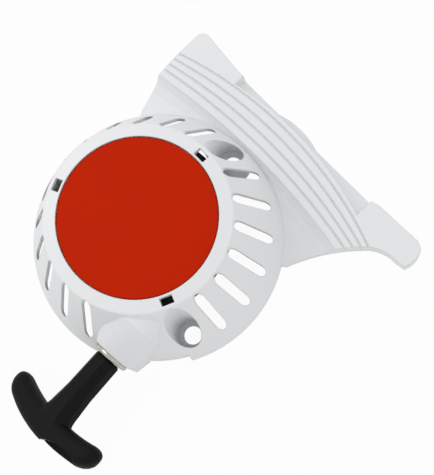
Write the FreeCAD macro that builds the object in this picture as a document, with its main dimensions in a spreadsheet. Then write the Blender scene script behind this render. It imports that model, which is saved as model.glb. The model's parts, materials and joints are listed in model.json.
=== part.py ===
"""Recoil starter for a small two-stroke engine.

Frame: the origin is on the drum axis in the plane of the rim that bolts to the engine.
+Z points out through the red front cover, +Y points to the shroud wing. The rope leaves
towards -Y, swung a few degrees towards +X. All lengths are in millimetres.
"""
import FreeCAD, Part
import math
import os
import Sketcher

from FreeCAD import Placement, Rotation, Vector

doc = FreeCAD.newDocument("recoil_starter")

# ---------------------------------------------------------------- driving dimensions
DIMENSIONS = {
    # dome of the housing
    "rim_radius": 65.0,
    "rim_lip": 2.5,
    "shoulder_radius": 46.2,
    "shoulder_height": 56.6,
    "face_radius": 44.4,
    "face_height": 58.6,
    "ring_height": 60.0,
    "wall": 1.7,
    "plate_depth": 2.6,
    # vents, clip windows and screw wells
    "vent_width": 5.0,
    "vent_inner": 45.4,
    "vent_outer": 60.4,
    "vent_pitch": 16.1,
    "rope_side_pitch": 15.9,
    "rope_side_start": 75.3,
    "window_width": 6.2,
    "window_gap": 1.0,
    "window_depth": 3.9,
    "well_land": 1.5,
    "well_step": 113.3,
    "well_radius": 7.4,
    "well_wall": 1.8,
    "well_floor": 2.6,
    "screw_hole_radius": 4.7,
    # red front cover
    "cover_radius": 38.6,
    "cover_thickness": 2.0,
    "cover_gap": 0.4,
    "hook_width": 5.0,
    "hook_thickness": 1.4,
    "hook_barb": 1.4,
    "hook_reach": 1.8,
    "hook_inset": 0.8,
    # flattened stretch of the rim beside the rope spout
    "rim_step": 2.4,
    "rim_step_start": -27.5,
    "rim_step_end": -58.0,
    # shroud wing
    "wing_height": 12.0,
    "wing_valley": 3.4,
    "wing_half": 67.0,
    "wing_centre": 7.0,
    "wing_depth": 24.2,
    "leg_reach": 35.2,
    "leg_width": 12.4,
    "ear_rise": 2.4,
    "ear_inset": 4.8,
    "ear_left_width": 30.0,
    "band_overlap": 0.4,
    "band_inner_rise": 6.0,
    "groove_start": 4.3,
    "groove_pitch": 5.1,
    "groove_rise": 6.4,
    "groove_rise_step": 1.4,
    "groove_width": 0.9,
    "groove_depth": 0.8,
    "bulge": 2.2,
    "edge_arc_back": 1.8,
    "edge_arc_rise": 9.0,
    "edge_arc_half": 56.0,
    "slope_reach": 9.0,
    # post, drum and rope
    "post_radius": 7.0,
    "post_bottom": 10.8,
    "running_gap": 0.05,
    "hub_wall": 4.0,
    "rope_radius": 1.75,
    "rope_height": 22.0,
    "rope_swing": 4.5,
    "drum_core": 21.9,
    "drum_flange": 33.0,
    "flange_thickness": 2.0,
    "groove_half": 4.8,
    "arbor_radius": 10.0,
    # rewind spring and its case
    "case_radius": 34.5,
    "case_wall": 1.6,
    "spring_width": 9.0,
    "spring_strip": 0.5,
    "spring_turns": 7.0,
    "axial_gap": 0.4,
    "case_drum_gap": 1.2,
    "case_ear_reach": 4.0,
    "case_cover_gap": 0.5,
    "case_boss_radius": 4.0,
    "case_screw_radius": 1.45,
    # pawls and their guide
    "pin_circle": 26.0,
    "pin_radius": 2.0,
    "pawl_thickness": 4.0,
    "pawl_length": 12.5,
    "pawl_peg_arm": 7.0,
    "pawl_peg_radius": 1.0,
    "guide_radius": 31.0,
    "guide_thickness": 1.6,
    "guide_gap": 0.3,
    "bush_radius": 4.0,
    "bush_reach": 2.0,
    "screw_radius": 2.9,
    "washer_radius": 9.0,
    "washer_thickness": 1.4,
    # rope spout, ferrule and handle
    "spout_inset": 7.5,
    "spout_radius": 10.8,
    "spout_mid": 38.8,
    "spout_mid_half": 14.4,
    "spout_root_half": 11.0,
    "spout_root": 20.0,
    "spout_hollow_root": 34.0,
    "spout_crown": 1.1,
    "spout_arch": 8.5,
    "spout_wall": 2.4,
    "ferrule_radius": 9.6,
    "ferrule_flange": 2.6,
    "ferrule_tube": 4.4,
    "ferrule_bore": 2.6,
    "stem_gap": 0.6,
    "stem_length": 34.5,
    "stem_width": 13.5,
    "stem_thickness": 12.5,
    "bar_length": 72.0,
    "bar_depth": 17.0,
    "bar_bow": 7.5,
    "bar_end": 6.4,
    "handle_twist": 26.0,
    "handle_bore": 2.3,
    "pocket_depth": 9.0,
    "pocket_width": 7.0,
    "knot_radius": 3.2,
    "drum_knot_radius": 3.0,
    "drum_knot_offset": 5.5,
    "drum_knot_angle": 150.0,
    "knot_gap": 0.4,
}

sheet = doc.addObject("Spreadsheet::Sheet", "Sizes")
for row, (word, number) in enumerate(DIMENSIONS.items(), start=1):
    sheet.set(f"A{row}", word)
    sheet.set(f"B{row}", str(number))
    sheet.setAlias(f"B{row}", word)
doc.recompute()


class Size:
    """A length or angle that carries its value and the sheet expression that gives it."""

    def __init__(self, value, text):
        self.value = value
        self.text = text

    def __add__(self, other):
        other = as_size(other)
        return Size(self.value + other.value, f"({self.text} + {other.text})")

    def __radd__(self, other):
        return as_size(other) + self

    def __sub__(self, other):
        other = as_size(other)
        return Size(self.value - other.value, f"({self.text} - {other.text})")

    def __rsub__(self, other):
        return as_size(other) - self

    def __mul__(self, other):
        other = as_size(other)
        return Size(self.value * other.value, f"({self.text} * {other.text})")

    __rmul__ = __mul__

    def __truediv__(self, other):
        other = as_size(other)
        return Size(self.value / other.value, f"({self.text} / {other.text})")

    def __neg__(self):
        return 0 - self


def as_size(number):
    """A plain number as a Size."""
    if isinstance(number, Size):
        return number
    return Size(float(number), f"({float(number):.6g})")


def dim(word):
    """The driving dimension of that name."""
    return Size(float(sheet.get(word)), f"Sizes.{word}")


def cosine(angle):
    angle = as_size(angle)
    return Size(math.cos(math.radians(angle.value)), f"cos({angle.text} * 1 deg)")


def sine(angle):
    angle = as_size(angle)
    return Size(math.sin(math.radians(angle.value)), f"sin({angle.text} * 1 deg)")


def root(size):
    """Square root of a sheet-driven number."""
    return Size(math.sqrt(size.value), f"sqrt({size.text})")


def polar(radius, angle):
    """Sheet-driven x and y of a point at a radius and an angle in degrees."""
    return radius * cosine(angle), radius * sine(angle)


def bind(item, prop, size):
    """Set a property from the sheet."""
    item.setExpression(prop, as_size(size).text)


# ---------------------------------------------------------------- sketch and feature helpers
def new_body(label):
    body = doc.addObject("PartDesign::Body", label)
    body.Label = label
    return body


def new_sketch(body, name, role="XY_Plane", offset=0):
    """A sketch on one of the body's own planes, moved along its normal."""
    sketch = body.newObject("Sketcher::SketchObject", name)
    plane = [item for item in body.Origin.OriginFeatures if item.Role == role][0]
    sketch.AttachmentSupport = [(plane, "")]
    sketch.MapMode = "FlatFace"
    bind(sketch, "AttachmentOffset.Base.z", offset)
    sketch.AttachmentOffset = Placement(Vector(0, 0, as_size(offset).value), Rotation())
    return sketch


def place_point(sketch, geometry, end, point):
    """Hold one point of a sketch at sheet-driven x and y."""
    for kind, size in zip(("DistanceX", "DistanceY"), point):
        size = as_size(size)
        index = sketch.addConstraint(
            Sketcher.Constraint(kind, -1, 1, geometry, end, size.value))
        bind(sketch, f"Constraints[{index}]", size)


def flat(point):
    return Vector(as_size(point[0]).value, as_size(point[1]).value, 0)


def outline(sketch, *steps):
    """A closed outline: points joined by lines; ("via", point) bends a side into an arc."""
    points = [step for step in steps if step[0] != "via"]
    bends = {}
    count = 0
    for step in steps:
        if step[0] == "via":
            bends[count - 1] = step[1]
        else:
            count += 1
    first = None
    last = None
    for index, start in enumerate(points):
        end = points[(index + 1) % len(points)]
        if index in bends:
            arc = Part.Arc(flat(start), flat(bends[index]), flat(end))
            geometry = sketch.addGeometry(arc, False)
            turns_left = (flat(bends[index]) - flat(start)).cross(
                flat(end) - flat(bends[index])).z > 0
            start_end, far_end = (1, 2) if turns_left else (2, 1)
            middle = sketch.addGeometry(Part.Point(flat(bends[index])), True)
            place_point(sketch, middle, 1, bends[index])
            sketch.addConstraint(Sketcher.Constraint("PointOnObject", middle, 1, geometry))
        else:
            geometry = sketch.addGeometry(Part.LineSegment(flat(start), flat(end)), False)
            start_end, far_end = 1, 2
        place_point(sketch, geometry, start_end, start)
        if last is not None:
            sketch.addConstraint(
                Sketcher.Constraint("Coincident", last[0], last[1], geometry, start_end))
        if first is None:
            first = (geometry, start_end)
        last = (geometry, far_end)
    sketch.addConstraint(Sketcher.Constraint("Coincident", last[0], last[1], *first))


def circle(sketch, centre, radius):
    """A full circle held by its centre and radius."""
    radius = as_size(radius)
    ring = Part.Circle(flat(centre), Vector(0, 0, 1), radius.value)
    geometry = sketch.addGeometry(ring, False)
    place_point(sketch, geometry, 3, centre)
    index = sketch.addConstraint(Sketcher.Constraint("Radius", geometry, radius.value))
    bind(sketch, f"Constraints[{index}]", radius)


def pad(body, sketch, length, midplane=False):
    feature = body.newObject("PartDesign::Pad", "Pad")
    feature.Profile = sketch
    feature.Midplane = midplane
    bind(feature, "Length", length)
    doc.recompute()
    return feature


def pocket(body, sketch, length, midplane=False, reverse=False):
    """A cut downwards from the sketch, or upwards when reversed."""
    feature = body.newObject("PartDesign::Pocket", "Pocket")
    feature.Profile = sketch
    feature.Midplane = midplane
    feature.Reversed = reverse
    bind(feature, "Length", length)
    doc.recompute()
    return feature


def turn(body, sketch, cut=False, angle=360, axis="V_Axis"):
    """A revolution about the sketch's upright axis, added or cut."""
    kind = "PartDesign::Groove" if cut else "PartDesign::Revolution"
    feature = body.newObject(kind, "Turn")
    feature.Profile = sketch
    feature.ReferenceAxis = (sketch, [axis])
    feature.Angle = angle
    doc.recompute()
    return feature


def ring_pattern(body, feature, count, step):
    """Copies of a feature round the upright axis, a sheet-driven step apart."""
    pattern = body.newObject("PartDesign::PolarPattern", "Pattern")
    pattern.Originals = [feature]
    axis = [item for item in body.Origin.OriginFeatures if item.Role == "Z_Axis"][0]
    pattern.Axis = (axis, [""])
    pattern.Occurrences = count
    bind(pattern, "Angle", step * (count - 1))
    body.Tip = pattern
    doc.recompute()
    return pattern


def boolean(kind, name, *members):
    """A Part boolean: Cut takes two members, MultiFuse and MultiCommon take several."""
    item = doc.addObject(f"Part::{kind}", name)
    if kind == "Cut":
        item.Base, item.Tool = members
    else:
        item.Shapes = list(members)
    doc.recompute()
    return item


nodes = {}


def node(name, item):
    """Name a finished piece; the name is its file's name."""
    item.Label = name
    nodes[name] = item
    return item


# ---------------------------------------------------------------- shared positions
rim_radius = dim("rim_radius")
wall = dim("wall")
plate_top = dim("ring_height") - dim("plate_depth")
plate_bottom = plate_top - wall
cone_slope = (rim_radius - dim("shoulder_radius")) / (dim("shoulder_height") - dim("rim_lip"))
shell_gap = wall * 1.07          # the wall measured level, across the sloping cone

flange_low = dim("rope_height") - dim("groove_half") - dim("flange_thickness")
flange_high = dim("rope_height") + dim("groove_half") + dim("flange_thickness")
hub_radius = dim("post_radius") + dim("hub_wall")
hub_bottom = dim("post_bottom") + dim("guide_gap")

case_bottom = flange_high + dim("case_drum_gap")
case_floor = case_bottom + dim("case_wall")
case_top = case_floor + dim("spring_width") + 2 * dim("axial_gap")
spring_cover_top = case_top + dim("case_wall")
arbor_top = case_top - dim("axial_gap")

pawl_top = flange_low - dim("guide_gap")
pawl_bottom = pawl_top - dim("pawl_thickness")
guide_top = pawl_bottom - dim("guide_gap")
guide_bottom = guide_top - dim("guide_thickness")
bush_bottom = guide_bottom - dim("bush_reach")
washer_bottom = bush_bottom - dim("washer_thickness")

coil_inner = dim("drum_core") + dim("running_gap")
outlet_x = coil_inner + 3 * dim("rope_radius")
coil_outer = coil_inner + 4 * dim("rope_radius")
lead_inner = outlet_x - dim("rope_radius")
drum_knot_centre = polar(dim("drum_core") + dim("drum_knot_offset"), dim("drum_knot_angle"))
lead_start = root(coil_outer * coil_outer - lead_inner * lead_inner) + 0.4

spout_end = rim_radius - dim("spout_inset")
ferrule_face = -spout_end - dim("ferrule_flange")
stem_start = ferrule_face - dim("stem_gap")
stem_end = stem_start - dim("stem_length")
bar_end_y = stem_end - dim("bar_depth")
pocket_floor = bar_end_y + dim("pocket_depth")

ring_bore = dim("cover_radius") + dim("cover_gap")
hook_radius = dim("cover_radius") - dim("hook_inset")
well_turns = (90, 90 - dim("well_step"), 90 + dim("well_step"))
case_boss_circle = dim("case_radius") + dim("case_ear_reach")
well_circle = dim("face_radius") + dim("well_land") + dim("well_radius")
case_cover_radius = (well_circle - dim("well_radius") - dim("well_wall")
                     - dim("case_cover_gap"))

band_inner = rim_radius - dim("band_overlap")
wing_outer = band_inner + dim("wing_depth")
leg_tip = rim_radius + dim("leg_reach")
leg_low = wing_outer - dim("leg_width")
ear_top = wing_outer + dim("ear_rise")
ear_left = dim("ear_inset") - rim_radius
rope_frame = Placement(Vector(0, 0, 0), Rotation(Vector(0, 0, 1), dim("rope_swing").value))


def swing(item):
    """Turn a piece built along -Y into the rope's own direction."""
    item.Placement = rope_frame
    bind(item, "Placement.Rotation.Angle", dim("rope_swing") * 1)
    return item


# ---------------------------------------------------------------- housing: dome
def cone_radius(height, inset=0):
    """Outer radius of the cone wall at a height, less an inset."""
    return rim_radius - (height - dim("rim_lip")) * cone_slope - inset


def build_dome():
    """The shell, post, screw wells and the bosses that carry the spring case."""
    body = new_body("dome")
    section = new_sketch(body, "dome_section", "XZ_Plane")
    outline(section,
            (0, plate_bottom),
            (cone_radius(plate_bottom, shell_gap), plate_bottom),
            (rim_radius - shell_gap, dim("rim_lip")),
            (rim_radius - shell_gap, 0),
            (rim_radius, 0),
            (rim_radius, dim("rim_lip")),
            (dim("shoulder_radius"), dim("shoulder_height")),
            ("via", (dim("shoulder_radius") - 0.5, dim("face_height") - 0.6)),
            (dim("face_radius"), dim("face_height")),
            (ring_bore, dim("ring_height")),
            (ring_bore, plate_top),
            (0, plate_top))
    turn(body, section)

    wells = new_sketch(body, "well_outsides")
    for angle in well_turns:
        circle(wells, polar(well_circle, angle), dim("well_radius") + dim("well_wall"))
    pad(body, wells, plate_bottom + 0.5 * wall)

    outside = new_sketch(body, "outside_of_cone", "XZ_Plane")
    outline(outside,
            (rim_radius, dim("rim_lip")),
            (dim("shoulder_radius"), dim("shoulder_height")),
            (dim("shoulder_radius"), plate_top + 5),
            (rim_radius + 5, plate_top + 5),
            (rim_radius + 5, dim("rim_lip")))
    turn(body, outside, cut=True)

    bores = new_sketch(body, "well_bores", offset=dim("ring_height"))
    for angle in well_turns:
        circle(bores, polar(well_circle, angle), dim("well_radius"))
    pocket(body, bores, dim("ring_height") - dim("well_floor"))
    holes = new_sketch(body, "screw_holes", offset=dim("well_floor") + 1)
    for angle in well_turns:
        circle(holes, polar(well_circle, angle), dim("screw_hole_radius"))
    pocket(body, holes, dim("well_floor") + 2)

    post = new_sketch(body, "post_outline", offset=dim("post_bottom"))
    circle(post, (0, 0), dim("post_radius"))
    pad(body, post, plate_bottom + 0.5 * wall - dim("post_bottom"))
    post_hole = new_sketch(body, "post_hole", offset=dim("post_bottom"))
    circle(post_hole, (0, 0), dim("screw_radius") + dim("running_gap"))
    pocket(body, post_hole, 16, reverse=True)

    collar = new_sketch(body, "collar_section", "XZ_Plane")
    outline(collar,
            (dim("post_radius") - 1, plate_bottom + 0.5 * wall),
            (dim("post_radius") - 1, spring_cover_top + 2),
            (dim("post_radius") + 2, spring_cover_top + 2),
            (dim("post_radius") + 6, plate_bottom),
            (dim("post_radius") + 6, plate_bottom + 0.5 * wall))
    turn(body, collar)

    boss = new_sketch(body, "case_boss", offset=spring_cover_top)
    circle(boss, (0, -case_boss_circle), dim("case_boss_radius"))
    boss_pad = pad(body, boss, plate_bottom + 0.5 * wall - spring_cover_top)
    ring_pattern(body, boss_pad, 3, as_size(120))
    boss_hole = new_sketch(body, "case_boss_hole", offset=spring_cover_top)
    circle(boss_hole, (0, -case_boss_circle), dim("case_screw_radius"))
    hole = pocket(body, boss_hole, 8, reverse=True)
    ring_pattern(body, hole, 3, as_size(120))

    rib = new_sketch(body, "plate_rib", offset=plate_bottom - 3)
    outline(rib, (dim("post_radius"), -1), (dim("cover_radius"), -1),
            (dim("cover_radius"), 1), (dim("post_radius"), 1))
    rib_pad = pad(body, rib, 3 + 0.5 * wall)
    ring_pattern(body, rib_pad, 6, as_size(60))
    return body


def turned(angle, along, across):
    """A point given along and across a direction that is turned round the axis."""
    centre_x, centre_y = polar(along, angle)
    return (centre_x - across * sine(angle), centre_y + across * cosine(angle))


def turned_box(angle, near, far, half):
    """Corners of a rectangle that lies along a direction turned round the axis."""
    return (turned(angle, near, -half), turned(angle, far, -half),
            turned(angle, far, half), turned(angle, near, half))


def build_filled_cone(name, inset):
    """The dome's outside, or its inside when inset, as a solid plug."""
    body = new_body(name)
    section = new_sketch(body, f"{name}_section", "XZ_Plane")
    outline(section,
            (0, -5),
            (rim_radius - inset, -5),
            (rim_radius - inset, dim("rim_lip")),
            (cone_radius(plate_bottom, inset), plate_bottom),
            (0, plate_bottom))
    turn(body, section)
    return body


def build_vents():
    """Slots through the cone wall in three groups, cut straight down."""
    groups = ((90 - dim("vent_pitch"), -dim("vent_pitch"), 6),
              (90 + dim("vent_pitch"), dim("vent_pitch"), 6),
              (-dim("rope_side_start"), -dim("rope_side_pitch"), 5))
    half = dim("vent_width") / 2
    near = dim("vent_inner") + half
    far = dim("vent_outer") - half
    body = new_body("vent_cutters")
    for start, step, count in groups:
        slots = new_sketch(body, "vent_slots", offset=dim("rim_lip") + 8)
        for index in range(count):
            angle = start + step * index
            outline(slots,
                    turned(angle, near, -half), turned(angle, far, -half),
                    ("via", turned(angle, far + half, 0)),
                    turned(angle, far, half), turned(angle, near, half),
                    ("via", turned(angle, near - half, 0)))
        pad(body, slots, dim("ring_height"))
    return body


def build_windows():
    """Square windows through the front ring and hook slots under the cover's edge."""
    body = new_body("window_cutters")
    near = ring_bore + dim("window_gap")
    windows = new_sketch(body, "windows", offset=plate_bottom - 4)
    slots = new_sketch(body, "hook_slots", offset=plate_bottom - 1)
    hook_near = hook_radius - dim("hook_thickness") - dim("hook_barb") - 0.4
    for angle in well_turns:
        outline(windows, *turned_box(
            angle, near, near + dim("window_depth"), dim("window_width") / 2))
        outline(slots, *turned_box(
            angle, hook_near, hook_radius + 0.2, dim("hook_width") / 2 + 0.4))
    pad(body, windows, dim("ring_height"))
    pad(body, slots, wall + 2)
    return body


def sector(sketch, inner, outer, start, end):
    """A piece of a ring between two angles."""
    middle = (start + end) / 2
    outline(sketch,
            polar(inner, start), ("via", polar(inner, middle)), polar(inner, end),
            polar(outer, end), ("via", polar(outer, middle)), polar(outer, start))


def build_rim_step():
    """The flattened stretch of rim: the wall it needs inside, and what it cuts away."""
    face = rim_radius - dim("rim_step")
    top = dim("rim_lip") + dim("rim_step") / cone_slope
    backing = new_body("rim_step_wall")
    ring = new_sketch(backing, "rim_step_ring")
    sector(ring, face - wall, rim_radius - shell_gap + 0.4,
           dim("rim_step_end"), dim("rim_step_start"))
    pad(backing, ring, top)
    cutter = new_body("rim_step_cutter")
    beyond = new_sketch(cutter, "rim_step_beyond", offset=-1)
    sector(beyond, face, rim_radius + 2, dim("rim_step_end"), dim("rim_step_start"))
    pad(cutter, beyond, top + 2)
    return backing, cutter


# ---------------------------------------------------------------- housing: shroud wing
def wing_outline(sketch, inset, outer):
    """The wing seen from the front, from the dome round both ears and the long leg."""
    root_circle = rim_radius - 8.4
    notch = ear_left + dim("ear_left_width")
    outline(sketch,
            polar(root_circle, 32),
            (rim_radius - 8 - inset, wing_outer - 52.3),
            ("via", (rim_radius + 1 - inset, wing_outer - 34.3)),
            (rim_radius + 12.5 - inset, leg_low - 7.2 + inset),
            ("via", (leg_tip - 15.7, leg_low - 1.8 + inset)),
            (leg_tip - 6.2 + inset, leg_low + inset),
            (leg_tip - 1.2 - inset, leg_low + 0.8 + inset),
            ("via", (leg_tip - inset, leg_low + 5.6)),
            (leg_tip - 1.8 - inset, wing_outer + 0.4 - inset),
            (leg_tip - 5.4 - inset, ear_top - 0.4 - inset),
            (rim_radius + 3.6 + inset, ear_top - 1.2 - inset),
            (rim_radius - 0.2 + inset, outer - inset),
            (24.5, outer - inset),
            ("via", (11.0, outer + dim("bulge") - inset)),
            (-2.5, outer - inset),
            (notch + 2.7 - inset, outer - inset),
            (notch - 0.6 - inset, ear_top - 2.6 - inset),
            (ear_left + 5.0 + inset, ear_top - 0.2 - inset),
            ("via", (ear_left + 1.6 + inset, ear_top - 1.2 - inset)),
            (ear_left + inset, ear_top - 4.2 - inset),
            (ear_left - 0.2 + inset, leg_low - 4.4),
            (ear_left + 0.8 + inset, wing_outer - 31.0),
            (ear_left + 5.6 + inset, wing_outer - 48.6),
            polar(root_circle, 148))


def build_wing_block(name, inset, height, outer):
    """The wing's plan raised to a height."""
    body = new_body(name)
    plan = new_sketch(body, f"{name}_plan", offset=-1 * as_size(inset))
    wing_outline(plan, inset, outer)
    pad(body, plan, height + inset)
    return body


def build_band_tool(name, middle, rise, points, half=None, centre=None):
    """A ring about the wing's own upright axis; points are offsets from the band arc."""
    half = half or dim("wing_half")
    centre = centre or dim("wing_centre")
    arc_radius = (half * half + rise * rise) / (2 * rise)
    body = new_body(name)
    section = new_sketch(body, f"{name}_section", "YZ_Plane")
    outline(section, *[(arc_radius + out, up) for out, up in points])
    turn(body, section)
    place = Vector(centre.value, (middle - arc_radius).value, 0)
    body.Placement = Placement(place, Rotation())
    bind(body, "Placement.Base.x", centre)
    bind(body, "Placement.Base.y", middle - arc_radius)
    return body


def build_housing():
    """Dome, wing and rope spout fused into one moulding, then pierced."""
    core = build_filled_cone("dome_core", 0)
    inside = build_filled_cone("dome_inside", shell_gap)
    top = dim("wing_height")
    low = dim("wing_valley")
    outer = wing_outer
    valley = build_band_tool("valley_tool", band_inner, dim("band_inner_rise"), [
        (-60, low), (-16, low), (-8, low + 0.8), (-3.2, low + 3.0), (-1, low + 6.0),
        (0, top + 0.01), (0, top + 8), (-60, top + 8)])
    skin = build_band_tool("valley_skin", band_inner, dim("band_inner_rise"), [
        (-60, -5), (-10, -5), (-10, 0), (wall, top - wall - 0.6), (wall, top + 8),
        (-60, top + 8)])
    solid_wing = boolean("Cut", "solid_wing", build_wing_block("wing_block", 0, top, outer), valley)
    hollow = boolean("Cut", "wing_hollow",
                     build_wing_block("wing_hollow_block", wall, top - wall,
                                      outer - dim("slope_reach")), skin)
    shaped = boolean("Cut", "shaped_wing", solid_wing, hollow)
    grooves = []
    for index in range(4):
        middle = band_inner + dim("groove_start") + dim("groove_pitch") * index
        rise = dim("groove_rise") + dim("groove_rise_step") * index
        half = dim("groove_width") / 2
        grooves.append(build_band_tool(f"groove_tool_{index + 1}", middle, rise, [
            (-half, top + 1), (-half, top - dim("groove_depth")),
            (half, top - dim("groove_depth")), (half, top + 1)]))
    slope_body = new_body("slope_block")
    notch = ear_left + dim("ear_left_width") + 2.7
    slope = new_sketch(slope_body, "slope_section", "YZ_Plane", offset=notch)
    outline(slope, (outer + 4, 1.2), (outer + 4, top + 1),
            (outer - dim("slope_reach") - 3, top + 1),
            (outer - dim("slope_reach"), top - wall - 0.6), (outer, 1.2))
    pad(slope_body, slope, rim_radius - 0.5 - notch)
    beyond_arc = build_band_tool("beyond_arc", outer - dim("edge_arc_back"),
                                 dim("edge_arc_rise"), [
        (0, 0), (0, top + 2), (14, top + 2), (14, 0)], half=dim("edge_arc_half"),
        centre=dim("wing_centre") + 4)
    ledge = boolean("MultiCommon", "outer_slope", slope_body, beyond_arc)
    carved = shaped
    for index, tool in enumerate(grooves + [ledge, core]):
        carved = boolean("Cut", f"carved_wing_{index + 1}", carved, tool)

    spout, spout_hollow, rope_hole = build_spout()
    outer_spout = boolean("Cut", "outer_spout", spout, inside)
    dome = build_dome()
    step_wall, step_cutter = build_rim_step()
    joined = boolean("MultiFuse", "joined_housing", dome, carved, step_wall)
    stepped = boolean("Cut", "stepped_housing", joined, step_cutter)
    whole = boolean("MultiFuse", "whole_housing", stepped, outer_spout)
    hollowed = boolean("Cut", "hollowed_housing", whole, spout_hollow)
    drilled = boolean("Cut", "drilled_housing", hollowed, rope_hole)
    vented = boolean("Cut", "vented_housing", drilled, build_vents())
    housing = boolean("Cut", "windowed_housing", vented, build_windows())
    return node("housing", housing)


# ---------------------------------------------------------------- housing: rope spout
def build_spout_shape(name, inset, far, root):
    """A nose along the rope: round at its tip, flat-crowned where it meets the dome."""
    crown = dim("shoulder_height") - dim("spout_crown")
    sections = (
        (far, dim("spout_radius"), dim("rope_height"), dim("rope_height") + dim("spout_radius")),
        (dim("spout_mid"), dim("spout_mid_half"), crown - dim("spout_arch"), crown),
        (root, dim("spout_root_half"), crown - dim("spout_arch"), crown))
    nose = new_body(name)
    sketches = []
    for index, (away, half, spring, top) in enumerate(sections):
        sketch = new_sketch(nose, f"{name}_section_{index + 1}", "XZ_Plane", offset=away)
        outline(sketch,
                (outlet_x - half + inset, -1 * inset),
                (outlet_x - half + inset, spring),
                ("via", (outlet_x, top - inset)),
                (outlet_x + half - inset, spring),
                (outlet_x + half - inset, -1 * inset))
        sketches.append(sketch)
    skin = nose.newObject("PartDesign::AdditiveLoft", f"{name}_skin")
    skin.Profile = sketches[0]
    skin.Sections = sketches[1:]
    skin.Ruled = True
    doc.recompute()
    return swing(nose)


def build_spout():
    """The nose, its hollow and the hole that takes the ferrule."""
    spout = build_spout_shape("rope_spout", as_size(0), spout_end, dim("spout_root"))
    hollow = build_spout_shape("spout_hollow", dim("spout_wall"),
                               spout_end - dim("spout_wall"), dim("spout_hollow_root"))
    drill = new_body("ferrule_hole")
    hole = new_sketch(drill, "ferrule_hole_circle", "XZ_Plane", offset=spout_end - 6)
    circle(hole, (outlet_x, dim("rope_height")), dim("ferrule_tube") + dim("running_gap"))
    pad(drill, hole, 12)
    return spout, hollow, swing(drill)


# ---------------------------------------------------------------- cover and spring case
def build_front_cover():
    """The red disc with three hooks that reach down through the clip windows."""
    body = new_body("front_cover")
    disc = new_sketch(body, "disc", offset=plate_top + dim("running_gap"))
    circle(disc, (0, 0), dim("cover_radius"))
    plate = pad(body, disc, dim("cover_thickness"))
    edge = body.newObject("PartDesign::Chamfer", "disc_edge")
    edge.Base = (plate, ["Face3"])
    edge.Size = 0.4
    doc.recompute()
    shanks = new_sketch(body, "hook_shanks", offset=plate_bottom - dim("hook_reach"))
    barbs = new_sketch(body, "hook_barbs", offset=plate_bottom - dim("hook_reach"))
    half = dim("hook_width") / 2
    for angle in well_turns:
        shank = hook_radius - dim("hook_thickness")
        outline(shanks, *turned_box(angle, shank, hook_radius, half))
        outline(barbs, *turned_box(angle, shank - dim("hook_barb"), shank + 0.4, half))
    pad(body, shanks, plate_top + 0.5 - plate_bottom + dim("hook_reach"))
    pad(body, barbs, dim("hook_reach") - 0.2)
    return node("front_cover", body)


def build_spring_case():
    """A cup round the rewind spring with three ears for its screws."""
    body = new_body("spring_case")
    section = new_sketch(body, "cup_section", "XZ_Plane")
    inner = dim("case_radius") - dim("case_wall")
    outline(section,
            (dim("arbor_radius") + 0.8, case_bottom), (dim("case_radius"), case_bottom),
            (dim("case_radius"), case_top), (inner, case_top),
            (inner, case_floor), (dim("arbor_radius") + 0.8, case_floor))
    turn(body, section)
    ear = new_sketch(body, "ear", offset=case_top - 3)
    reach = case_boss_circle
    half = dim("case_boss_radius")
    outline(ear, (half, 1 - dim("case_radius")), (-half, 1 - dim("case_radius")),
            (-half, -reach), ("via", (0, -reach - half)), (half, -reach))
    ear_pad = pad(body, ear, 3)
    ring_pattern(body, ear_pad, 3, as_size(120))
    hole = new_sketch(body, "ear_hole", offset=case_top)
    circle(hole, (0, -reach), dim("case_screw_radius") + 0.15)
    ear_hole = pocket(body, hole, 4)
    ring_pattern(body, ear_hole, 3, as_size(120))
    return node("spring_case", body)


def build_spring_cover():
    """The plate that closes the case and reaches out under the clip windows."""
    body = new_body("spring_cover")
    disc = new_sketch(body, "disc", offset=case_top)
    circle(disc, (0, 0), case_cover_radius)
    circle(disc, (0, 0), dim("post_radius") + 0.6)
    pad(body, disc, dim("case_wall"))
    hole = new_sketch(body, "screw_hole", offset=spring_cover_top)
    circle(hole, (0, -case_boss_circle), dim("case_screw_radius") + 0.15)
    screw_hole = pocket(body, hole, 4)
    ring_pattern(body, screw_hole, 3, as_size(120))
    return node("spring_cover", body)


def build_case_screws():
    """Three pan-head screws, driven from the engine side into the bosses."""
    body = new_body("case_screws")
    section = new_sketch(body, "screw_section", "XZ_Plane")
    axis_x = case_boss_circle
    head = case_top - 3
    radius = dim("case_screw_radius") - dim("running_gap")
    outline(section,
            (axis_x, head - 2), (axis_x + 2.6, head - 2), (axis_x + 2.6, head),
            (axis_x + radius, head), (axis_x + radius, spring_cover_top + 7),
            (axis_x, spring_cover_top + 7))
    spine = section.addGeometry(
        Part.LineSegment(flat((axis_x, head - 2)), flat((axis_x, head + 5))), True)
    place_point(section, spine, 1, (axis_x, head - 2))
    place_point(section, spine, 2, (axis_x, head + 5))
    turn(body, section, axis="Axis0")
    copies = []
    for index in range(3):
        link = doc.addObject("Part::Feature", f"case_screw_{index + 1}")
        link.Shape = body.Shape
        link.Placement = Placement(Vector(0, 0, 0), Rotation(Vector(0, 0, 1), 120 * index - 90))
        copies.append(link)
    group = doc.addObject("Part::Compound", "case_screw_group")
    group.Links = copies
    doc.recompute()
    return node("case_screws", group)


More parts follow.
